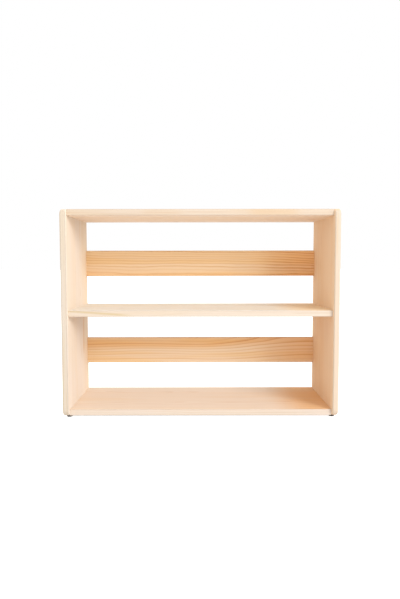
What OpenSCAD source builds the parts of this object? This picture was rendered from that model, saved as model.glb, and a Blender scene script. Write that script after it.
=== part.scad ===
// Low open bookshelf in solid pine: two side panels, three boards between them and two back slats.
// X runs across the shelf, Y from front to back and Z up. The origin is on the floor, under the middle.

/* [Case] */
// Width over the outer faces of the side panels
case_w = 800; // [500:1:1200]
// Depth of a side panel from its front edge to its back edge
case_d = 300; // [240:1:400]
// Height of a side panel, without the feet
case_h = 598; // [520:1:900]
// Height of the middle shelf's underside above the lower edge of the side panels
middle_shelf_rise = 289; // [220:1:320]

/* [Side panels] */
// Thickness of a side panel
panel_t = 18; // [16:1:28]
// Radius of a side panel's four corners, seen from the side
panel_corner = 18; // [10:1:40]
// Radius of the rolled edge that runs round both faces of a side panel
panel_roll = 5; // [2:0.5:7]

/* [Boards] */
// Thickness of the top board, the middle shelf and the bottom board
board_t = 18; // [16:1:28]
// How far the boards' front edges lie behind the front edges of the side panels
board_recess = 12; // [2:1:30]
// Radius of the eased long edges of the boards and slats
edge_ease = 2; // [0.5:0.5:5]

/* [Back slats] */
// Height of a back slat
slat_h = 85; // [60:1:120]
// Thickness of a back slat
slat_t = 18; // [15:1:25]
// Height of the upper slat's lower edge above the middle shelf
upper_slat_rise = 93; // [20:1:110]
// Height of the lower slat's lower edge above the bottom board
lower_slat_rise = 89; // [20:1:110]

/* [Feet] */
// Diameter of a rubber foot where it is stuck to the wood
foot_d = 18.5; // [10:0.5:30]
// Diameter of the flat on which a foot stands
foot_floor_d = 16; // [6:0.5:26]
// Height of a foot
foot_h = 6; // [2:0.5:12]
// Radius of the soft edge between a foot's side and its flat
foot_round = 1; // [0.5:0.1:1.5]
// Distance from a side panel's outer face to a foot's centre
foot_side_inset = 14.5; // [12:0.5:60]
// Distance from the end of a side panel's rounded corner to the foot's edge
foot_corner_gap = 0.5; // [0:0.5:40]

/* [Screws and plugs] */
// Whole length of a screw
screw_l = 50; // [40:1:60]
// Diameter of a screw head
screw_head_d = 9.5; // [8.5:0.1:10]
// Height of a screw head
screw_head_l = 4; // [3:0.5:5]
// Diameter of the smooth shank that passes through a side panel
screw_shank_d = 7; // [6.5:0.1:8]
// Diameter of the screw's body in a board's end
screw_body_d = 5; // [4:0.1:6]
// Length of the screw's tapered tip
screw_tip_l = 6; // [2:1:12]
// Diameter at the end of the tip
screw_tip_d = 2; // [1:0.1:3.5]
// Size of the six-sided socket across its corners
socket_d = 4.6; // [3:0.1:6]
// Depth of the socket
socket_depth = 2.5; // [1:0.1:2.8]
// Diameter of the wooden plug over a screw head
plug_d = 10.6; // [10.4:0.1:12]
// Thickness of the plug
plug_t = 4; // [2:0.5:6]
// Distance from a board's long edge to the nearest screw
screw_inset = 40; // [20:1:70]

/* [Dowels] */
// Diameter of a beech dowel
dowel_d = 8; // [6:0.5:10]
// Length of a dowel
dowel_l = 30; // [20:1:40]
// How deep a dowel sits in a side panel
dowel_seat = 10; // [6:0.5:12]
// Width of the bevel round each end of a dowel
dowel_bevel = 1; // [0.5:0.1:2]
// Distance from a screw to the dowel beside it
hole_pitch = 32; // [16:1:50]

/* [Clearances] */
// Gap all round a screw, dowel or plug in its hole
fit_gap = 0.1; // [0.05:0.05:0.3]
// Space left beyond the end of a screw or dowel in its hole
end_gap = 1; // [0.5:0.5:3]

/* [Hidden] */
$fn = 64;

// Colours of the materials
pale_pine = [0.96, 0.87, 0.76];
amber_pine = [0.91, 0.73, 0.52];
beech = [0.85, 0.70, 0.52];
zinc = [0.72, 0.72, 0.70];
black_rubber = [0.13, 0.12, 0.11];

// How far a cutter runs past the face that it opens
over = 1;

// Edges of the case
front = -case_d / 2;
back = case_d / 2;
case_bottom = foot_h;
case_top = case_bottom + case_h;

// Boards
inner_w = case_w - 2 * panel_t;
board_front = front + board_recess;
board_d = back - board_front;
bottom_board_z = case_bottom;
middle_shelf_z = case_bottom + middle_shelf_rise;
top_board_z = case_top - board_t;

// Slats
slat_front = back - slat_t;
upper_slat_z = middle_shelf_z + board_t + upper_slat_rise;
lower_slat_z = bottom_board_z + board_t + lower_slat_rise;

// Feet
foot_x = case_w / 2 - foot_side_inset;
foot_y = case_d / 2 - panel_corner - foot_corner_gap - foot_d / 2;

// Screws, measured along their axes from a side panel's outer face
head_seat = plug_t + screw_head_l;
screw_end = plug_t + screw_l;
shank_l = panel_t - head_seat;
body_l = screw_end - panel_t - screw_tip_l;

// Dowels, measured the same way
dowel_start = panel_t - dowel_seat;

// Places of the holes in the end of a board, as points across Y and Z
function board_screws(z) = [
    for (y = [board_front + screw_inset, back - screw_inset]) [y, z + board_t / 2]
];
function board_dowels(z) = [
    for (y = [board_front + screw_inset + hole_pitch, back - screw_inset - hole_pitch])
        [y, z + board_t / 2]
];

// Places of the holes in the end of a slat
function slat_screws(z) = [[back - slat_t / 2, z + (slat_h + hole_pitch) / 2]];
function slat_dowels(z) = [[back - slat_t / 2, z + (slat_h - hole_pitch) / 2]];

all_screws = concat(
    board_screws(bottom_board_z), board_screws(middle_shelf_z), board_screws(top_board_z),
    slat_screws(lower_slat_z), slat_screws(upper_slat_z)
);
all_dowels = concat(
    board_dowels(bottom_board_z), board_dowels(middle_shelf_z), board_dowels(top_board_z),
    slat_dowels(lower_slat_z), slat_dowels(upper_slat_z)
);

// Places the children, drawn along +Z inwards from a side panel's outer face, at one end of the case
module at_left(spots) {
    for (spot = spots)
        translate([-case_w / 2, spot[0], spot[1]])
            rotate([0, 90, 0])
                children();
}

module at_right(spots) {
    mirror([1, 0, 0])
        at_left(spots)
            children();
}

module at_both_ends(spots) {
    at_left(spots)
        children();
    at_right(spots)
        children();
}

// Turns a shape drawn with X as depth, Y as height and Z as width so that it stands in the case
module stand() {
    rotate([90, 0, 90])
        children();
}

// Quarter of a disc, in the corner between the positive axes
module quarter_disc(r) {
    intersection() {
        circle(r = r);
        square(r);
    }
}

// Rectangle from the origin with eased corners
module eased_rectangle(w, h, r) {
    translate([r, 0])
        square([w - 2 * r, h]);
    for (x = [0, w - r])
        translate([x, r])
            square([r, h - 2 * r]);
    translate([w - r, h - r])
        quarter_disc(r);
    translate([r, h - r])
        mirror([1, 0])
            quarter_disc(r);
    translate([w - r, r])
        mirror([0, 1])
            quarter_disc(r);
    translate([r, r])
        rotate(180)
            quarter_disc(r);
}

// Section through the rim of a side panel: as wide as the corner radius, rolled at its outer edges
module rim_section() {
    flat_l = panel_corner - panel_roll;
    half_t = panel_t / 2;
    translate([0, -half_t])
        square([flat_l, panel_t]);
    translate([flat_l, panel_roll - half_t])
        square([panel_roll, panel_t - 2 * panel_roll]);
    for (side = [0, 1])
        mirror([0, side])
            translate([flat_l, half_t - panel_roll])
                quarter_disc(panel_roll);
}

// Straight stretch of the rim along Y, from the middle of the panel outwards along X
module rim_run(run_l) {
    rotate([90, 0, 0])
        linear_extrude(height = run_l, center = true)
            rim_section();
}

// Side panel before drilling, centred and lying flat: a plain middle, four runs and four corners
module panel_blank() {
    core_w = case_d - 2 * panel_corner;
    core_h = case_h - 2 * panel_corner;
    cube([core_w, core_h, panel_t], center = true);
    for (turn = [0, 180])
        rotate(turn) {
            translate([core_w / 2, 0, 0])
                rim_run(core_h);
            translate([0, core_h / 2, 0])
                rotate(90)
                    rim_run(core_w);
            translate([core_w / 2, core_h / 2, 0])
                rotate_extrude(angle = 90)
                    rim_section();
            translate([-core_w / 2, core_h / 2, 0])
                rotate(90)
                    rotate_extrude(angle = 90)
                        rim_section();
        }
}

// Board or slat between the side panels, before drilling, from its lower front edge
module bar_blank(y, z, depth, height) {
    translate([0, y, z])
        stand()
            linear_extrude(height = inner_w, center = true)
                eased_rectangle(depth, height, edge_ease);
}

// Stepped hole for a plug, a screw head and its shank
module panel_screw_hole() {
    translate([0, 0, -over])
        cylinder(d = plug_d + 2 * fit_gap, h = head_seat + over);
    cylinder(d = screw_shank_d + 2 * fit_gap, h = panel_t + over);
}

// Pilot hole for a screw in the end of a board or slat
module end_screw_hole() {
    translate([0, 0, panel_t - over])
        cylinder(d = screw_body_d + 2 * fit_gap, h = screw_end + end_gap - panel_t + over);
}

// Hole for a dowel, half in the side panel and half in the end of a board or slat
module dowel_hole() {
    translate([0, 0, dowel_start - end_gap])
        cylinder(d = dowel_d + 2 * fit_gap, h = dowel_l + 2 * end_gap);
}

// Screw with a six-sided socket, a smooth shank as thick as the panel and a tapered tip
module screw() {
    translate([0, 0, plug_t])
        difference() {
            cylinder(d = screw_head_d, h = screw_head_l);
            translate([0, 0, -over])
                cylinder(d = socket_d, h = socket_depth + over, $fn = 6);
        }
    translate([0, 0, head_seat])
        cylinder(d = screw_shank_d, h = shank_l);
    translate([0, 0, panel_t])
        cylinder(d = screw_body_d, h = body_l);
    translate([0, 0, panel_t + body_l])
        cylinder(d1 = screw_body_d, d2 = screw_tip_d, h = screw_tip_l);
}

module plug() {
    cylinder(d = plug_d, h = plug_t);
}

module dowel() {
    translate([0, 0, dowel_start]) {
        cylinder(d1 = dowel_d - 2 * dowel_bevel, d2 = dowel_d, h = dowel_bevel);
        translate([0, 0, dowel_bevel])
            cylinder(d = dowel_d, h = dowel_l - 2 * dowel_bevel);
        translate([0, 0, dowel_l - dowel_bevel])
            cylinder(d1 = dowel_d, d2 = dowel_d - 2 * dowel_bevel, h = dowel_bevel);
    }
}

module side_panel() {
    color(pale_pine)
        difference() {
            translate([(panel_t - case_w) / 2, 0, case_bottom + case_h / 2])
                stand()
                    panel_blank();
            at_left(all_screws)
                panel_screw_hole();
            at_left(all_dowels)
                dowel_hole();
        }
}

module board(z) {
    color(pale_pine)
        difference() {
            bar_blank(board_front, z, board_d, board_t);
            at_both_ends(board_screws(z))
                end_screw_hole();
            at_both_ends(board_dowels(z))
                dowel_hole();
        }
}

module slat(z) {
    color(amber_pine)
        difference() {
            bar_blank(slat_front, z, slat_t, slat_h);
            at_both_ends(slat_screws(z))
                end_screw_hole();
            at_both_ends(slat_dowels(z))
                dowel_hole();
        }
}

// Rubber foot: a low cone with a soft edge, standing on its smaller flat
module foot(x_side, y_side) {
    color(black_rubber)
        translate([x_side * foot_x, y_side * foot_y, 0])
            rotate_extrude() {
                square([foot_floor_d / 2 - foot_round, foot_round]);
                translate([foot_floor_d / 2 - foot_round, foot_round])
                    mirror([0, 1])
                        quarter_disc(foot_round);
                polygon([
                    [0, foot_round],
                    [foot_floor_d / 2, foot_round],
                    [foot_d / 2, foot_h],
                    [0, foot_h]
                ]);
            }
}

module screws(spots) {
    color(zinc)
        at_both_ends(spots)
            screw();
}

module dowels(spots) {
    color(beech)
        at_both_ends(spots)
            dowel();
}

module left_side_panel() {
    side_panel();
}

module right_side_panel() {
    mirror([1, 0, 0])
        side_panel();
}

module left_panel_plugs() {
    color(beech)
        at_left(all_screws)
            plug();
}

module right_panel_plugs() {
    color(beech)
        at_right(all_screws)
            plug();
}

left_side_panel();
right_side_panel();
board(top_board_z);  // top_board
board(middle_shelf_z);  // middle_shelf
board(bottom_board_z);  // bottom_board
slat(upper_slat_z);  // upper_back_slat
slat(lower_slat_z);  // lower_back_slat
foot(-1, -1);  // front_left_foot
foot(1, -1);  // front_right_foot
foot(-1, 1);  // back_left_foot
foot(1, 1);  // back_right_foot
screws(board_screws(top_board_z));  // top_board_screws
screws(board_screws(middle_shelf_z));  // middle_shelf_screws
screws(board_screws(bottom_board_z));  // bottom_board_screws
screws(slat_screws(upper_slat_z));  // upper_slat_screws
screws(slat_screws(lower_slat_z));  // lower_slat_screws
dowels(board_dowels(top_board_z));  // top_board_dowels
dowels(board_dowels(middle_shelf_z));  // middle_shelf_dowels
dowels(board_dowels(bottom_board_z));  // bottom_board_dowels
dowels(slat_dowels(upper_slat_z));  // upper_slat_dowels
dowels(slat_dowels(lower_slat_z));  // lower_slat_dowels
left_panel_plugs();
right_panel_plugs();
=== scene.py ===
"""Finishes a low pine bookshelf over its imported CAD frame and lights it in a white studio.

It is laid out as a Blender add-on and run as a script. Lengths are in metres.
"""

import math

import bmesh
import bpy
from bpy.props import FloatProperty, FloatVectorProperty, PointerProperty
from mathutils import Matrix, Vector


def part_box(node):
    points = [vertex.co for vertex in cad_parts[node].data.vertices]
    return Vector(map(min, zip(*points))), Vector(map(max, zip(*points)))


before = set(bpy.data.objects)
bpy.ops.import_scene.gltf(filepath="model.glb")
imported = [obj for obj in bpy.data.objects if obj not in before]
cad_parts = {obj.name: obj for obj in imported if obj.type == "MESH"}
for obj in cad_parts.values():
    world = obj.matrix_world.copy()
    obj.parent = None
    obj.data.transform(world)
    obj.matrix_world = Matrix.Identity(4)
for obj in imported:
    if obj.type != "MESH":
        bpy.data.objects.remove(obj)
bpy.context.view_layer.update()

bl_info = {
    "name": "Pine bookshelf",
    "version": (1, 0, 0),
    "blender": (4, 5, 0),
    "location": "View3D > Sidebar > Bookshelf",
    "description": "Finishes a low open-backed pine bookshelf and lights it in a white studio",
    "category": "Object",
}

QUARTER_TURN = math.pi / 2
WHITE = (1.0, 1.0, 1.0, 1.0)


def colour_property(name, description, default):
    """A colour that a user would change."""
    return FloatVectorProperty(
        name=name, description=description, default=default, subtype="COLOR", size=3, min=0.0, max=1.0
    )


def angle_property(name, description, default):
    """An angle that a user would change."""
    return FloatProperty(
        name=name, description=description, default=default, unit="ROTATION", subtype="ANGLE"
    )


def power_property(name, description, default):
    """A lamp's power that a user would change."""
    return FloatProperty(name=name, description=description, default=default, unit="POWER", min=0.0)


class BookshelfTimber(bpy.types.PropertyGroup):
    """Colours of the timber. Each growth ring has pale earlywood and dark latewood."""

    panel_early: colour_property(
        "Panel earlywood", "Pale part of each ring in the side panels", (0.93, 0.70, 0.52)
    )
    panel_late: colour_property(
        "Panel latewood", "Dark part of each ring in the side panels", (0.78, 0.49, 0.29)
    )
    board_early: colour_property(
        "Board earlywood", "Pale part of each ring in the boards", (0.93, 0.77, 0.60)
    )
    board_late: colour_property(
        "Board latewood", "Dark part of each ring in the boards", (0.77, 0.54, 0.34)
    )
    slat_early: colour_property(
        "Slat earlywood", "Pale part of each ring in the back slats", (0.80, 0.61, 0.41)
    )
    slat_late: colour_property(
        "Slat latewood", "Dark part of each ring in the back slats", (0.58, 0.30, 0.14)
    )
    beech: colour_property("Beech", "Colour of the dowels and plugs", (0.62, 0.40, 0.22))


class BookshelfHardware(bpy.types.PropertyGroup):
    """Colours of the feet and screws."""

    rubber: colour_property("Rubber", "Colour of the feet", (0.030, 0.024, 0.020))
    steel: colour_property("Zinc-plated steel", "Colour of the screws", (0.62, 0.62, 0.60))


class BookshelfStage(bpy.types.PropertyGroup):
    """Camera, lamps, room and floor."""

    camera_place: FloatVectorProperty(
        name="Camera place",
        description="Where the camera stands",
        default=(-0.0042, -1.7243, 0.4535),
        unit="LENGTH",
        subtype="TRANSLATION",
        size=3,
    )
    camera_yaw: angle_property("Camera yaw", "Turn to the left of straight ahead", -0.0018)
    camera_dip: angle_property("Camera dip", "Tilt below the horizon", 0.0681)
    camera_roll: angle_property("Camera roll", "Turn of the picture", 0.0014)
    lens: FloatProperty(
        name="Lens",
        description="Focal length over 36 mm of the picture's height",
        default=33.19,
        unit="CAMERA",
        min=1.0,
    )
    key_power: power_property("Key lamp", "Power of the main lamp at the front right", 355.0)
    low_power: power_property("Low lamp", "Power of the weak lamp below the key lamp", 92.0)
    fill_power: power_property("Fill lamp", "Power of the low lamp straight ahead", 60.0)
    room_light: FloatProperty(
        name="Room light", description="Strength of the light from the white room", default=1.01, min=0.0
    )
    floor_tone: FloatProperty(
        name="Floor tone",
        description="Lightness of the floor",
        default=0.80,
        subtype="FACTOR",
        min=0.0,
        max=1.0,
    )


class Tree:
    """Adds nodes to one material or world and joins them."""

    def __init__(self, owner):
        owner.use_nodes = True
        self.nodes = owner.node_tree.nodes
        self.links = owner.node_tree.links
        self.nodes.clear()

    def add(self, kind, inputs=(), **settings):
        """Adds a node, sets it up and gives each named input a value or a link."""
        node = self.nodes.new(kind)
        for name, value in settings.items():
            setattr(node, name, value)
        for key, value in dict(inputs).items():
            if isinstance(value, bpy.types.NodeSocket):
                self.links.new(value, node.inputs[key])
            else:
                node.inputs[key].default_value = value
        return node

    def math(self, operation, first, second=0.0, third=0.0, clamp=False):
        """One step of arithmetic on single values."""
        inputs = {0: first, 1: second, 2: third}
        return self.add("ShaderNodeMath", inputs, operation=operation, use_clamp=clamp).outputs[0]

    def vector(self, operation, first, second):
        """One step of arithmetic on vectors."""
        return self.add("ShaderNodeVectorMath", {0: first, 1: second}, operation=operation).outputs[0]

    def split(self, vector):
        """The three parts of a vector."""
        return self.add("ShaderNodeSeparateXYZ", {0: vector}).outputs

    def mix(self, amount, first, second, blend="MIX"):
        """Goes from the first colour to the second, or to both blended, by an amount from 0 to 1.

        The node keeps its colours in sockets 6 and 7 and gives them out in socket 2.
        """
        inputs = {0: amount, 6: first, 7: second}
        return self.add("ShaderNodeMix", inputs, data_type="RGBA", blend_type=blend).outputs[2]

    def tint(self, amount, colour, tint):
        """Multiplies a colour by a tint, as far as the amount from 0 to 1 says."""
        return self.mix(amount, colour, (*tint, 1.0), blend="MULTIPLY")

    def noise(self, place, cells, detail=2.0, roughness=0.5):
        """Smooth noise from 0 to 1, with so many cells per metre along each axis."""
        scaled = self.vector("MULTIPLY", place, cells)
        inputs = {"Vector": scaled, "Scale": 1.0, "Detail": detail, "Roughness": roughness}
        return self.add("ShaderNodeTexNoise", inputs, noise_dimensions="3D").outputs[0]

    def chance(self, number):
        """A chance Value and a chance Color that belong to a whole number."""
        return self.add("ShaderNodeTexWhiteNoise", {"W": number}, noise_dimensions="1D").outputs

    def spread(self, value, amount):
        """Brings a value from 0 to 1 to one from minus to plus half the amount."""
        return self.math("MULTIPLY_ADD", value, amount, -amount / 2)

    def smooth_step(self, value, start, end):
        """Rises gently from 0 at the start to 1 at the end."""
        inputs = {"Value": value, "From Min": start, "From Max": end, "To Min": 0.0, "To Max": 1.0}
        return self.add("ShaderNodeMapRange", inputs, interpolation_type="SMOOTHSTEP").outputs[0]

    def ramp(self, value, stops):
        """Grey steps: pairs of place and height, joined by straight lines."""
        node = self.add("ShaderNodeValToRGB", {0: value})
        first, last = node.color_ramp.elements
        first.position, last.position = stops[0][0], stops[-1][0]
        first.color = (stops[0][1],) * 3 + (1.0,)
        last.color = (stops[-1][1],) * 3 + (1.0,)
        for position, height in stops[1:-1]:
            node.color_ramp.elements.new(position).color = (height,) * 3 + (1.0,)
        return node.outputs[0]


def material(name):
    """A new material with an empty tree."""
    made = bpy.data.materials.new(name)
    return made, Tree(made)


def finish_tree(tree, shader):
    """Joins the shader to the material's output."""
    tree.add("ShaderNodeOutputMaterial", {"Surface": shader})


# Darkness across one growth ring: pale spring growth, dark summer growth and a sharp end
RING_PROFILE = ((0.0, 0.30), (0.07, 0.04), (0.45, 0.06), (0.72, 0.38), (0.90, 1.0), (0.96, 0.9), (1.0, 0.30))

# Chance moves each stave up to this far through the noise, and two of the noises are read this far away
STAVE_LEAP = 3.0
SINK_PLACE = (5.0, 5.0, 5.0)
STREAK_PLACE = (9.0, 9.0, 9.0)

# Cells per metre of the noise that moves the heart sideways, sinks it, fades the rings and draws the fibres
SWAY_CELLS = (1.6, 3.0, 3.0)
SINK_CELLS = (1.3, 3.0, 3.0)
FADE_CELLS = (2.2, 14.0, 14.0)
FIBRE_CELLS = (9.0, 700.0, 700.0)

# The heart sinks this many times as far as it sways
SINK_PER_SWAY = 2.5

# Years crowd together and spread out by this many rings, by a noise of so many cells per ring
CROWDING = 2.4
CROWDING_CELLS = (0.13, 1.0, 1.0)

# Strength of the faintest year, and of the rings where they fade most
FAINTEST_YEAR = 0.2
MOST_FADED = 0.5

# Noise between these two values turns into golden streaks
STREAK_EDGES = (0.44, 0.60)

# Share of a single line's length over which it fades in, and out again
LINE_TAPER = 0.25

# How far a surface has to face one way for each kind of surface to begin and to be complete. +Y is behind
SAWN_END = (0.55, 0.95)
PLANED_EDGE = (0.1, 0.8)
ARRIS = (0.1, 0.5)
SECOND_FACE = (0.5, 0.9)
SECOND_ARRIS = (0.05, 0.35)
FORWARD = (-0.1, -0.8)
BACKWARD = (0.1, 0.8)

# Relief of the wood: shares of the rings and fibres, and the bump's strength and depth
RING_RELIEF = 0.35
FIBRE_RELIEF = 0.5
WOOD_BUMP = (0.35, 0.0002)

# Fibres make the wood this much rougher in places
FIBRE_ROUGHNESS = 0.14


class PineFinish(Tree):
    """Pine with growth rings that run through the timber, so that faces, edges and ends agree."""

    def __init__(self, owner, early, late, centre, look):
        super().__init__(owner)
        self.look = look
        self.early = self.own_colour(early)
        self.late = self.own_colour(late)
        places = self.add("ShaderNodeTexCoord").outputs
        laying = {"Vector": places["Object"], "Location": centre, "Rotation": look["turn"]}
        laid = self.add("ShaderNodeMapping", laying, vector_type="TEXTURE").outputs[0]
        self.along, self.across, self.deep = self.split(laid)
        self.pick_stave(laid)
        self.find_surfaces(places["Normal"])

    def own_colour(self, shared):
        """The timber's own shade of a colour that it shares with others."""
        return (*(part * tint for part, tint in zip(shared, self.look["tint"])), 1.0)

    def pick_stave(self, laid):
        """Splits the width into glued staves, each from a log of its own."""
        width = self.look["stave_width"]
        place = self.math("MULTIPLY_ADD", self.across, 1 / width, self.look["stave_shift"])
        number = self.math("ADD", self.math("FLOOR", place), self.look["seed"])
        colour = self.chance(number)["Color"]
        chances = self.add("ShaderNodeSeparateColor", {0: colour}).outputs
        self.side_chance, self.depth_chance, self.turn_chance = chances
        middle = self.math("SUBTRACT", self.math("FRACT", place), 0.5)
        self.from_middle = self.math("MULTIPLY", middle, width)
        leap = self.add("ShaderNodeVectorMath", {0: colour, "Scale": STAVE_LEAP}, operation="SCALE")
        self.shifted = self.vector("ADD", laid, leap.outputs[0])

    def find_surfaces(self, normal):
        """Finds the sawn ends, the planed edges, the arrises and the second of the two wide faces."""
        turned = {"Vector": normal, "Rotation": self.look["turn"]}
        facing = self.add("ShaderNodeMapping", turned, vector_type="TEXTURE").outputs[0]
        end_on, edge_on, face_on = self.split(facing)
        behind = self.split(normal)[1]
        forward = self.smooth_step(behind, *FORWARD)
        backward = self.smooth_step(behind, *BACKWARD)
        outward = self.math("MULTIPLY", face_on, self.look["second_side"])
        second_arris = self.smooth_step(outward, *SECOND_ARRIS)
        arris = self.math("ABSOLUTE", self.math("MULTIPLY", edge_on, face_on))
        arris = self.smooth_step(arris, *ARRIS)
        # The front arris beside the second face is spared this painted shade, as far as the look says
        kept = self.math("MULTIPLY_ADD", second_arris, -self.look["unshaded_arris_share"], 1.0)
        arris = self.math("MULTIPLY", arris, kept)
        self.second_face = self.smooth_step(outward, *SECOND_FACE)
        self.end = self.smooth_step(self.math("ABSOLUTE", end_on), *SAWN_END)
        self.edge = self.smooth_step(self.math("ABSOLUTE", edge_on), *PLANED_EDGE)
        self.front_edge = self.math("MULTIPLY", self.edge, forward)
        self.back_edge = self.math("MULTIPLY", self.edge, backward)
        self.front_arris = self.math("MULTIPLY", arris, forward)

    def change_along(self, change):
        """Grows along the timber from 0 to the change's amount."""
        start, end, amount = self.look[change]
        return self.math("MULTIPLY", self.smooth_step(self.along, start, end), amount)

    def heart_distance(self):
        """Distance from the heart of the log, which wanders along it and so draws arches on the faces."""
        look = self.look
        heart_side = self.spread(self.side_chance, look["stave_width"] * look["heart_spread"])
        heart_side = self.math("ADD", heart_side, look["heart_across"])
        sway = self.spread(self.noise(self.shifted, SWAY_CELLS), look["wander"])
        side = self.math("ADD", self.math("SUBTRACT", self.from_middle, heart_side), sway)
        side = self.math("MULTIPLY_ADD", self.along, look["lean"], side)

        heart_depth = self.math("MULTIPLY_ADD", self.depth_chance, look["heart_range"], look["heart_depth"])
        turned = self.math("SIGN", self.math("SUBTRACT", self.turn_chance, look["turned_share"]))
        sink = self.noise(self.vector("ADD", self.shifted, SINK_PLACE), SINK_CELLS)
        sink = self.spread(sink, look["wander"] * SINK_PER_SWAY)
        depth = self.math("MULTIPLY_ADD", heart_depth, turned, self.deep)
        depth = self.math("ADD", depth, self.math("ADD", sink, self.change_along("dive")))
        square = self.math("MULTIPLY_ADD", side, side, self.math("MULTIPLY", depth, depth))
        return self.math("SQRT", square)

    def ring_darkness(self, radius):
        """Darkness of growth rings of uneven width and strength."""
        look = self.look
        ripple = self.spread(self.noise(self.shifted, look["ripple_cells"], detail=3.0), look["ripple"])
        rings = self.math("MULTIPLY", self.math("ADD", radius, ripple), 1 / look["ring_width"])
        row = self.add("ShaderNodeCombineXYZ", {0: rings, 1: look["seed"]}).outputs[0]
        rings = self.math("ADD", rings, self.spread(self.noise(row, CROWDING_CELLS), CROWDING))
        shade = self.ramp(self.math("FRACT", rings), RING_PROFILE)

        number = self.math("ADD", self.math("FLOOR", rings), look["seed"])
        year = self.math("POWER", self.chance(number)["Value"], look["rare_dark_years"])
        strength = self.math("MULTIPLY_ADD", year, 1.0 - FAINTEST_YEAR, FAINTEST_YEAR)
        fade = self.math("ADD", self.noise(self.shifted, FADE_CELLS), MOST_FADED)
        livelier = self.math("ADD", self.change_along("lively_end"), 1.0)
        strength = self.math("MULTIPLY", self.math("MULTIPLY", strength, fade), livelier)
        return self.math("MULTIPLY", shade, strength)

    def draw_lines(self, colour, side, lines):
        """Draws single lines and bands along the timber, level or at a slant.

        Each says where it starts and ends along the timber, its place to the side at both, half its width
        and its tint. One that reaches past the timber's end runs off it.
        """
        for start, end, first, last, half_width, tint in lines:
            slope = (last - first) / (end - start)
            middle = self.math("MULTIPLY_ADD", self.along, slope, first - slope * start)
            off = self.math("ABSOLUTE", self.math("SUBTRACT", side, middle))
            taper = (end - start) * LINE_TAPER
            begun = self.smooth_step(self.along, start, start + taper)
            not_over = self.smooth_step(self.along, end, end - taper)
            lasting = self.math("MULTIPLY", begun, not_over)
            amount = self.math("MULTIPLY", self.smooth_step(off, half_width, 0.0), lasting)
            colour = self.tint(amount, colour, tint)
        return colour

    def wood_colour(self, figure, radius, fibres):
        """The planed wood: rings, heartwood, golden streaks, a painted shadow at one end, single lines,
        staves and fibres.
        """
        look = self.look
        heart_end, heart_blur = look["heartwood"]
        heartwood = self.smooth_step(radius, heart_end + heart_blur, heart_end - heart_blur)
        streaks = self.noise(self.vector("ADD", self.shifted, STREAK_PLACE), look["streak_cells"])
        streaks = self.math("MULTIPLY", self.smooth_step(streaks, *STREAK_EDGES), look["streaks"])
        off_edge = self.math("SUBTRACT", 1.0, self.edge)
        # Painted shadow: towards the end in the right panel's cast shadow, the faces are deepened and warmed
        painted_shadow = self.math("MULTIPLY", off_edge, self.change_along("painted_shadow_end"))

        colour = self.mix(figure, self.early, self.late)
        colour = self.tint(heartwood, colour, look["heartwood_tint"])
        colour = self.tint(streaks, colour, look["golden_tint"])
        colour = self.tint(painted_shadow, colour, look["painted_shadow_tint"])
        lined_face = self.draw_lines(colour, self.across, look["face_lines"])
        colour = self.mix(self.second_face, lined_face, colour)
        lined_edge = self.draw_lines(colour, self.deep, look["edge_lines"])
        colour = self.mix(self.edge, colour, lined_edge)

        clouds = self.noise(self.shifted, look["cloud_cells"], detail=3.0)
        stave_tone = self.math("MULTIPLY", self.side_chance, look["stave_tint"])
        warm = self.math("MULTIPLY_ADD", clouds, look["clouds"], stave_tone, clamp=True)
        colour = self.mix(warm, colour, self.late)
        tone = self.math("ADD", self.spread(fibres, look["fibre_tone"]), 1.0)
        tone = self.add("ShaderNodeCombineXYZ", {0: tone, 1: tone, 2: tone}).outputs[0]
        return self.mix(1.0, colour, tone, blend="MULTIPLY")

    def tint_surfaces(self, colour):
        """Painted shade on front edges and arrises, painted light on back edges and the second face, darker
        sawn ends.
        """
        look = self.look
        # Painted shade: the front edges, which the lamps light more than the faces, are darkened
        colour = self.tint(self.front_edge, colour, look["front_edge_painted_shade"])
        # Painted shade: the front arris, turned towards the key lamp, is darkened so it does not shine out
        colour = self.tint(self.front_arris, colour, look["front_arris_painted_shade"])
        # Painted light: the back edges, which little lamp light reaches, are lifted and warmed
        colour = self.tint(self.back_edge, colour, look["back_edge_painted_light"])
        # Painted light: the second wide face is tinted for how the lamps fall on it, darker where they light
        # it strongly
        colour = self.tint(self.second_face, colour, look["second_face_painted_light"])
        return self.mix(self.math("MULTIPLY", self.end, look["end_grain"]), colour, self.late)

    def finish(self):
        """Brings it all together in one shader."""
        look = self.look
        radius = self.heart_distance()
        edge_gain = self.math("MULTIPLY_ADD", self.edge, look["edge_contrast"] - 1.0, 1.0)
        contrast = self.math("MULTIPLY", edge_gain, look["contrast"])
        figure = self.math("MULTIPLY", self.ring_darkness(radius), contrast, clamp=True)
        fibres = self.noise(self.shifted, FIBRE_CELLS, detail=3.0, roughness=0.6)
        height = self.math("MULTIPLY_ADD", figure, RING_RELIEF, self.math("MULTIPLY", fibres, FIBRE_RELIEF))
        strength, distance = WOOD_BUMP
        bump = self.add("ShaderNodeBump", {"Height": height, "Strength": strength, "Distance": distance})
        shader = self.add(
            "ShaderNodeBsdfPrincipled",
            {
                "Base Color": self.tint_surfaces(self.wood_colour(figure, radius, fibres)),
                "Roughness": self.math("MULTIPLY_ADD", fibres, FIBRE_ROUGHNESS, look["roughness"]),
                "Specular IOR Level": look["shine"],
                "Normal": bump.outputs[0],
            },
        )
        finish_tree(self, shader.outputs[0])


# Turns that bring the grain along X, the width of the timber along Y and its thickness along Z
GRAIN_ACROSS_FLAT = (0.0, 0.0, 0.0)
GRAIN_ACROSS_UPRIGHT = (QUARTER_TURN, 0.0, 0.0)
GRAIN_UP = (0.0, -QUARTER_TURN, 0.0)
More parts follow.
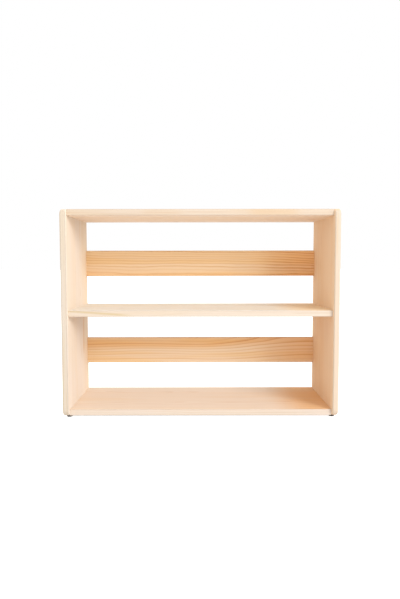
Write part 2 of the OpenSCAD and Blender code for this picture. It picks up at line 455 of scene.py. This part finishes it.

# The pine of each timber. Cells are per metre along, across and through it, and a tint multiplies the colour.
# A change along the timber says where it starts, where it is complete and how much it is. Each timber adds
# its seed for chance, the tint of all its wood and the painted shade on its front edge.
PANEL_LOOK = {
    "turn": GRAIN_UP,
    # Glued staves: their width, how far the first is shifted in widths, and how much they differ in tone
    "stave_width": 0.072,
    "stave_shift": 0.4,
    "stave_tint": 0.10,
    # The heart of the log: its place across from the stave's middle, the share of the stave that chance moves
    # it over, its depth below the timber's middle, what chance adds to that, and the share of staves that are
    # turned over
    "heart_across": 0.0,
    "heart_spread": 1.4,
    "heart_depth": 0.045,
    "heart_range": 0.06,
    "turned_share": 0.5,
    # The heart's way along the timber: its slope sideways, how far it wanders and where it dives
    "lean": 0.0,
    "wander": 0.020,
    "dive": (0.0, 1.0, 0.0),
    # Rings: their mean width, their ripple, how rare dark years are and where they grow livelier
    "ring_width": 0.0034,
    "ripple": 0.0012,
    "ripple_cells": (9.0, 60.0, 60.0),
    "rare_dark_years": 1.0,
    "lively_end": (0.0, 1.0, 0.0),
    "contrast": 0.48,
    "edge_contrast": 1.6,
    # Warmer wood: round the heart up to a radius, with its blur, in golden streaks, and a painted shadow
    # towards one end
    "heartwood": (0.0, 0.001),
    "heartwood_tint": (1.00, 0.94, 0.86),
    "streaks": 0.5,
    "streak_cells": (1.5, 16.0, 16.0),
    "golden_tint": (1.00, 0.95, 0.84),
    "painted_shadow_end": (0.0, 1.0, 0.0),
    "painted_shadow_tint": (1.00, 1.00, 1.00),
    # Slow changes of tone, and the fibres' own
    "clouds": 0.10,
    "cloud_cells": (1.8, 12.0, 12.0),
    "fibre_tone": 0.05,
    # Single lines on the first wide face and on the edges, as draw_lines reads them
    "face_lines": (),
    "edge_lines": (),
    # Painted shade on the front arris, which faces the key lamp; painted light on the back edge; and darker
    # sawn ends
    "front_arris_painted_shade": (0.86, 0.86, 0.88),
    "back_edge_painted_light": (1.14, 1.03, 0.90),
    "end_grain": 0.25,
    # The second wide face, with a tint of painted light of its own for how the lamps fall on it, and no
    # single lines: 1 or -1 for the side that it is on, or 0 for none, and the share of the front arris beside
    # it that is spared the arris's painted shade
    "second_side": 0.0,
    "second_face_painted_light": (1.00, 1.00, 1.00),
    "unshaded_arris_share": 0.0,
    # Surface
    "roughness": 0.66,
    "shine": 0.15,
}
LEFT_PANEL_LOOK = {
    **PANEL_LOOK,
    "seed": 3.0,
    "tint": (0.85, 1.01, 1.20),
    "face_lines": (
        (-0.16, -0.01, 0.072, 0.076, 0.0180, (0.93, 0.80, 0.64)),
        # Painted shade: a broad warm band along the back of the inner face, where the shade falls warmer
        (-0.60, 0.60, 0.150, 0.150, 0.1400, (1.05, 0.99, 0.88)),
    ),
    "edge_lines": (
        (-0.34, -0.02, 0.0075, 0.0000, 0.0030, (0.96, 0.93, 0.82)),
        (-0.34, -0.20, -0.0050, -0.0020, 0.0024, (0.95, 0.92, 0.86)),
    ),
    "front_edge_painted_shade": (0.74, 0.73, 0.70),
    "second_side": 1.0,
    # Painted light: the outer face, lit only by the room, is lifted and warmed
    "second_face_painted_light": (1.08, 0.96, 0.90),
    "unshaded_arris_share": 1.0,
}
RIGHT_PANEL_LOOK = {
    **PANEL_LOOK,
    "seed": 13.0,
    "tint": (0.94, 0.92, 0.84),
    "edge_lines": ((0.15, 0.30, 0.002, 0.002, 0.0035, (0.97, 0.94, 0.84)),),
    "front_edge_painted_shade": (0.70, 0.79, 0.94),
    "front_arris_painted_shade": (0.94, 0.93, 0.92),
    "second_side": -1.0,
    # Painted shade: the outer face, which the key lamp lights strongly, is darkened and cooled
    "second_face_painted_light": (0.79, 0.87, 1.04),
    "unshaded_arris_share": 1.0,
}
BOARD_LOOK = {
    **PANEL_LOOK,
    "turn": GRAIN_ACROSS_FLAT,
    "stave_shift": 0.1,
    "contrast": 0.40,
    "edge_contrast": 2.4,
}
TOP_LOOK = {
    **BOARD_LOOK,
    "seed": 40.0,
    "tint": (0.98, 0.97, 1.01),
    "edge_lines": (
        (0.12, 0.30, 0.0, 0.0, 0.030, (1.0, 0.93, 0.83)),
        (-0.18, -0.04, 0.0, 0.0, 0.030, (0.99, 0.96, 0.92)),
        (-0.12, 0.12, 0.006, 0.003, 0.002, (1.03, 1.06, 1.10)),
    ),
    "front_edge_painted_shade": (0.64, 0.65, 0.64),
    "back_edge_painted_light": (1.03, 0.98, 0.90),
    "second_side": 1.0,
    # Painted shade: the top face, which the lamps light strongly, is darkened
    "second_face_painted_light": (0.86, 0.86, 0.88),
}
SHELF_LOOK = {
    **BOARD_LOOK,
    "seed": 50.0,
    "tint": (0.86, 0.88, 0.97),
    # Painted shadow where the right panel's shadow falls on the shelf's right end
    "painted_shadow_end": (0.20, 0.33, 1.0),
    "painted_shadow_tint": (1.11, 0.94, 0.72),
    "edge_lines": (
        (-0.440, -0.180, 0.0125, -0.0065, 0.0055, (0.88, 0.83, 0.64)),
        (-0.150, -0.040, -0.0060, 0.0010, 0.0030, (0.96, 0.94, 0.90)),
        (0.250, 0.400, 0.0015, 0.0020, 0.0024, (0.90, 0.88, 0.84)),
    ),
    "front_edge_painted_shade": (0.78, 0.80, 0.79),
    "second_side": 1.0,
    # Painted sheen: the shelf's top is made paler and cooler
    "second_face_painted_light": (1.00, 1.13, 1.20),
}
BOTTOM_LOOK = {
    **BOARD_LOOK,
    "seed": 60.0,
    "tint": (0.89, 0.91, 0.97),
    # Painted shadow where the right panel's shadow falls on the board's right end
    "painted_shadow_end": (0.20, 0.33, 1.0),
    "painted_shadow_tint": (0.97, 0.72, 0.46),
    "edge_lines": (
        (0.12, 0.42, -0.0005, 0.0015, 0.0022, (0.90, 0.88, 0.84)),
        (-0.42, 0.42, -0.0070, -0.0062, 0.0026, (0.90, 0.90, 0.86)),
    ),
    "front_edge_painted_shade": (0.78, 0.81, 0.87),
}
SLAT_LOOK = {
    **PANEL_LOOK,
    "turn": GRAIN_ACROSS_UPRIGHT,
    "stave_width": 0.40,
    "stave_shift": 0.5,
    "stave_tint": 0.0,
    "heart_spread": 0.0,
    "heart_range": 0.0,
    "turned_share": -1.0,
    "wander": 0.012,
    "rare_dark_years": 1.3,
    "edge_contrast": 1.0,
    "heartwood_tint": (1.00, 0.88, 0.74),
    "streaks": 1.0,
    "streak_cells": (1.8, 34.0, 34.0),
    "golden_tint": (1.00, 0.93, 0.78),
    # Painted shadow on the slats' right end, in the right panel's shadow
    "painted_shadow_end": (0.12, 0.36, 1.0),
    "clouds": 0.30,
    "cloud_cells": (1.6, 40.0, 40.0),
    "front_edge_painted_shade": (0.85, 0.85, 0.85),
    "front_arris_painted_shade": (0.93, 0.93, 0.93),
    "back_edge_painted_light": (1.00, 1.00, 1.00),
    "second_side": -1.0,
    # Painted light: the back face is warmer than the front, which is paler where the lamps light it
    "second_face_painted_light": (1.14, 1.01, 0.88),
}
UPPER_SLAT_LOOK = {
    **SLAT_LOOK,
    "seed": 70.0,
    "tint": (0.89, 0.89, 0.87),
    "heart_across": -0.070,
    "heart_depth": 0.060,
    "lean": 0.016,
    "ring_width": 0.0062,
    "ripple": 0.011,
    "ripple_cells": (5.5, 16.0, 16.0),
    "lively_end": (0.18, 0.30, 1.2),
    "contrast": 1.0,
    "heartwood": (0.080, 0.010),
    "painted_shadow_tint": (1.21, 1.06, 0.90),
    "face_lines": ((-0.70, 0.70, 0.0300, 0.0300, 0.0240, (1.04, 0.99, 0.88)),),
}
LOWER_SLAT_LOOK = {
    **SLAT_LOOK,
    "seed": 80.0,
    "tint": (0.92, 0.95, 0.99),
    "heart_across": 0.055,
    "heart_depth": 0.011,
    "dive": (-0.04, 0.36, 0.034),
    "ring_width": 0.0085,
    "ripple": 0.010,
    "ripple_cells": (2.6, 16.0, 16.0),
    "contrast": 0.9,
    "heartwood": (0.055, 0.008),
    "painted_shadow_tint": (1.19, 1.06, 0.92),
    "face_lines": (
        (-0.70, 0.14, 0.0180, 0.0180, 0.0200, (0.975, 0.91, 0.80)),
        (-0.02, 0.26, 0.0130, 0.0440, 0.0130, (0.975, 0.91, 0.80)),
    ),
}


def dress(node, made):
    """Gives a CAD node its finish."""
    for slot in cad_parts[node].material_slots:
        slot.material = made


def dress_in_pine(looks, early, late):
    """Gives each timber pine of its own, laid out from the timber's middle."""
    for node, look in looks.items():
        low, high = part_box(node)
        made = bpy.data.materials.new(node)
        PineFinish(made, early, late, (low + high) / 2, look).finish()
        dress(node, made)


def speckled(name, colour, share, cells, roughness, added_roughness, relief=None, metallic=0.0):
    """A finish in one colour, with speckles in a lighter or darker share of it.

    The speckles also add to the roughness, and stand out in relief of a given strength and depth.
    """
    made, tree = material(name)
    place = tree.add("ShaderNodeTexCoord").outputs["Object"]
    speckles = tree.noise(place, cells, detail=3.0)
    inputs = {
        "Base Color": tree.mix(speckles, (*colour, 1.0), (*(part * share for part in colour), 1.0)),
        "Roughness": tree.math("MULTIPLY_ADD", speckles, added_roughness, roughness),
        "Metallic": metallic,
    }
    if relief:
        strength, distance = relief
        bump = tree.add("ShaderNodeBump", {"Height": speckles, "Strength": strength, "Distance": distance})
        inputs["Normal"] = bump.outputs[0]
    finish_tree(tree, tree.add("ShaderNodeBsdfPrincipled", inputs).outputs[0])
    return made


def foot_rubber(colour):
    """Matt rubber with fine grit."""
    return speckled(
        "foot_rubber_finish",
        colour,
        share=1.8,
        cells=(900.0, 900.0, 900.0),
        roughness=0.5,
        added_roughness=0.2,
        relief=(0.4, 0.0002),
    )


def screw_zinc(colour):
    """Bright zinc plating with a slight haze."""
    return speckled(
        "screw_zinc",
        colour,
        share=0.8,
        cells=(600.0, 600.0, 600.0),
        roughness=0.22,
        added_roughness=0.2,
        metallic=1.0,
    )


def plain_beech(colour):
    """Beech with its short dark flecks."""
    return speckled(
        "beech_finish",
        colour,
        share=0.75,
        cells=(120.0, 900.0, 900.0),
        roughness=0.45,
        added_roughness=0.15,
        relief=(0.3, 0.0001),
    )


class BOOKSHELF_OT_side_panels(bpy.types.Operator):
    """Finish the two side panels"""

    bl_idname = "bookshelf.side_panels"
    bl_label = "Side panels"

    def execute(self, context):
        timber = context.scene.bookshelf_timber
        looks = {"left_side_panel": LEFT_PANEL_LOOK, "right_side_panel": RIGHT_PANEL_LOOK}
        dress_in_pine(looks, timber.panel_early, timber.panel_late)
        return {"FINISHED"}


class BOOKSHELF_OT_boards(bpy.types.Operator):
    """Finish the top board, the middle shelf and the bottom board"""

    bl_idname = "bookshelf.boards"
    bl_label = "Boards"

    def execute(self, context):
        timber = context.scene.bookshelf_timber
        looks = {"top_board": TOP_LOOK, "middle_shelf": SHELF_LOOK, "bottom_board": BOTTOM_LOOK}
        dress_in_pine(looks, timber.board_early, timber.board_late)
        return {"FINISHED"}


class BOOKSHELF_OT_back_slats(bpy.types.Operator):
    """Finish the two back slats"""

    bl_idname = "bookshelf.back_slats"
    bl_label = "Back slats"

    def execute(self, context):
        timber = context.scene.bookshelf_timber
        looks = {"upper_back_slat": UPPER_SLAT_LOOK, "lower_back_slat": LOWER_SLAT_LOOK}
        dress_in_pine(looks, timber.slat_early, timber.slat_late)
        return {"FINISHED"}


class BOOKSHELF_OT_feet(bpy.types.Operator):
    """Finish the four rubber feet"""

    bl_idname = "bookshelf.feet"
    bl_label = "Feet"

    def execute(self, context):
        rubber = foot_rubber(context.scene.bookshelf_hardware.rubber)
        for node in ("front_left_foot", "front_right_foot", "back_left_foot", "back_right_foot"):
            dress(node, rubber)
        return {"FINISHED"}


class BOOKSHELF_OT_fasteners(bpy.types.Operator):
    """Finish the screws, dowels and plugs"""

    bl_idname = "bookshelf.fasteners"
    bl_label = "Screws, dowels and plugs"

    def execute(self, context):
        steel = screw_zinc(context.scene.bookshelf_hardware.steel)
        beech = plain_beech(context.scene.bookshelf_timber.beech)
        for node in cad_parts:
            if node.endswith("_screws"):
                dress(node, steel)
            elif node.endswith(("_dowels", "_plugs")):
                dress(node, beech)
        return {"FINISHED"}


# The floor reaches this far to each side, and glows so much that the camera sees it white
FLOOR_REACH = 30.0
FLOOR_GLOW = 0.8

# Each lamp's bearing to the right of straight ahead, angle above the shelf, width and power setting
LAMPS = {
    "key_lamp": (math.radians(40), math.radians(23), 3.0, "key_power"),
    "low_lamp": (math.radians(28), math.radians(14), 2.6, "low_power"),
    "fill_lamp": (0.0, math.radians(11), 3.4, "fill_power"),
}

# Point that the lamps face, and how far away they stand
LAMP_TARGET = Vector((0.0, 0.0, 0.3))
LAMP_DISTANCE = 8.0

# The camera sees nothing nearer than this
NEAREST_SEEN = 0.05


def seen_white(tree):
    """1 for rays that show the background: straight from the camera, mirrored or through glass."""
    path = tree.add("ShaderNodeLightPath").outputs
    seen = tree.math("MAXIMUM", path["Is Camera Ray"], path["Is Glossy Ray"])
    return tree.math("MAXIMUM", seen, path["Is Transmission Ray"])


def add_floor(scene, tone):
    """A wide sheet of white paper under the shelf."""
    shape = bmesh.new()
    bmesh.ops.create_grid(shape, x_segments=1, y_segments=1, size=FLOOR_REACH)
    mesh = bpy.data.meshes.new("studio_floor")
    shape.to_mesh(mesh)
    shape.free()
    floor = bpy.data.objects.new("studio_floor", mesh)
    scene.collection.objects.link(floor)
    paper, tree = material("white_paper")
    diffuse = tree.add("ShaderNodeBsdfDiffuse", {"Color": (tone, tone, tone, 1.0)})
    strength = tree.math("MULTIPLY", seen_white(tree), FLOOR_GLOW)
    glow = tree.add("ShaderNodeEmission", {"Strength": strength})
    both = tree.add("ShaderNodeAddShader", {0: diffuse.outputs[0], 1: glow.outputs[0]})
    finish_tree(tree, both.outputs[0])
    mesh.materials.append(paper)


def add_room(scene, strength):
    """A white room that lights the shelf from all sides and is seen as plain white."""
    world = bpy.data.worlds.new("white_room")
    scene.world = world
    tree = Tree(world)
    light = tree.add("ShaderNodeBackground", {"Color": WHITE, "Strength": strength})
    seen = tree.add("ShaderNodeBackground", {"Color": WHITE, "Strength": 1.0})
    rooms = {0: seen_white(tree), 1: light.outputs[0], 2: seen.outputs[0]}
    both = tree.add("ShaderNodeMixShader", rooms)
    tree.add("ShaderNodeOutputWorld", {"Surface": both.outputs[0]})


def add_lamp(scene, name, bearing, height_angle, width, power):
    """A square soft lamp that faces the shelf."""
    data = bpy.data.lights.new(name, "AREA")
    data.shape = "SQUARE"
    data.size = width
    data.energy = power
    level = math.cos(height_angle)
    way = Vector((math.sin(bearing) * level, -math.cos(bearing) * level, math.sin(height_angle)))
    made = bpy.data.objects.new(name, data)
    made.location = LAMP_TARGET + way * LAMP_DISTANCE
    made.rotation_euler = way.to_track_quat("Z", "Y").to_euler()
    scene.collection.objects.link(made)


def add_camera(scene, stage):
    """The camera that took the photograph, fitted to its straight edges."""
    data = bpy.data.cameras.new("photo_camera")
    data.lens = stage.lens
    data.clip_start = NEAREST_SEEN
    camera = bpy.data.objects.new("photo_camera", data)
    turn = Matrix.Rotation(stage.camera_yaw, 4, "Z")
    tilt = Matrix.Rotation(QUARTER_TURN - stage.camera_dip, 4, "X")
    roll = Matrix.Rotation(-stage.camera_roll, 4, "Z")
    camera.matrix_world = Matrix.Translation(stage.camera_place) @ turn @ tilt @ roll
    scene.collection.objects.link(camera)
    scene.camera = camera


class BOOKSHELF_OT_stage(bpy.types.Operator):
    """Set up the floor, the white room, the lamps and the camera"""

    bl_idname = "bookshelf.stage"
    bl_label = "Studio"

    def execute(self, context):
        scene = context.scene
        stage = scene.bookshelf_stage
        add_floor(scene, stage.floor_tone)
        add_room(scene, stage.room_light)
        for name, (bearing, height_angle, width, power) in LAMPS.items():
            add_lamp(scene, name, bearing, height_angle, width, getattr(stage, power))
        add_camera(scene, stage)
        scene.view_settings.view_transform = "Standard"
        return {"FINISHED"}


OPERATORS = (
    BOOKSHELF_OT_side_panels,
    BOOKSHELF_OT_boards,
    BOOKSHELF_OT_back_slats,
    BOOKSHELF_OT_feet,
    BOOKSHELF_OT_fasteners,
    BOOKSHELF_OT_stage,
)
PROPERTY_GROUPS = {
    "bookshelf_timber": BookshelfTimber,
    "bookshelf_hardware": BookshelfHardware,
    "bookshelf_stage": BookshelfStage,
}


class BOOKSHELF_PT_sidebar(bpy.types.Panel):
    """Steps that finish the bookshelf, and the settings that they read"""

    bl_idname = "BOOKSHELF_PT_sidebar"
    bl_label = "Pine bookshelf"
    bl_space_type = "VIEW_3D"
    bl_region_type = "UI"
    bl_category = "Bookshelf"

    def draw(self, context):
        """Lists the steps, then the settings."""
        for operator in OPERATORS:
            self.layout.operator(operator.bl_idname)
        for name, group in PROPERTY_GROUPS.items():
            for setting in group.__annotations__:
                self.layout.prop(getattr(context.scene, name), setting)


def register():
    """Makes the settings, the operators and the panel known to Blender."""
    for name, group in PROPERTY_GROUPS.items():
        bpy.utils.register_class(group)
        setattr(bpy.types.Scene, name, PointerProperty(type=group))
    for made in (*OPERATORS, BOOKSHELF_PT_sidebar):
        bpy.utils.register_class(made)


def unregister():
    """Takes back what register does, in the opposite order."""
    for made in (BOOKSHELF_PT_sidebar, *reversed(OPERATORS)):
        bpy.utils.unregister_class(made)
    for name, group in reversed(PROPERTY_GROUPS.items()):
        delattr(bpy.types.Scene, name)
        bpy.utils.unregister_class(group)


def main():
    """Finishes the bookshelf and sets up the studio."""
    register()
    bpy.ops.bookshelf.side_panels()
    bpy.ops.bookshelf.boards()
    bpy.ops.bookshelf.back_slats()
    bpy.ops.bookshelf.feet()
    bpy.ops.bookshelf.fasteners()
    bpy.ops.bookshelf.stage()


if __name__ == "__main__":
    main()
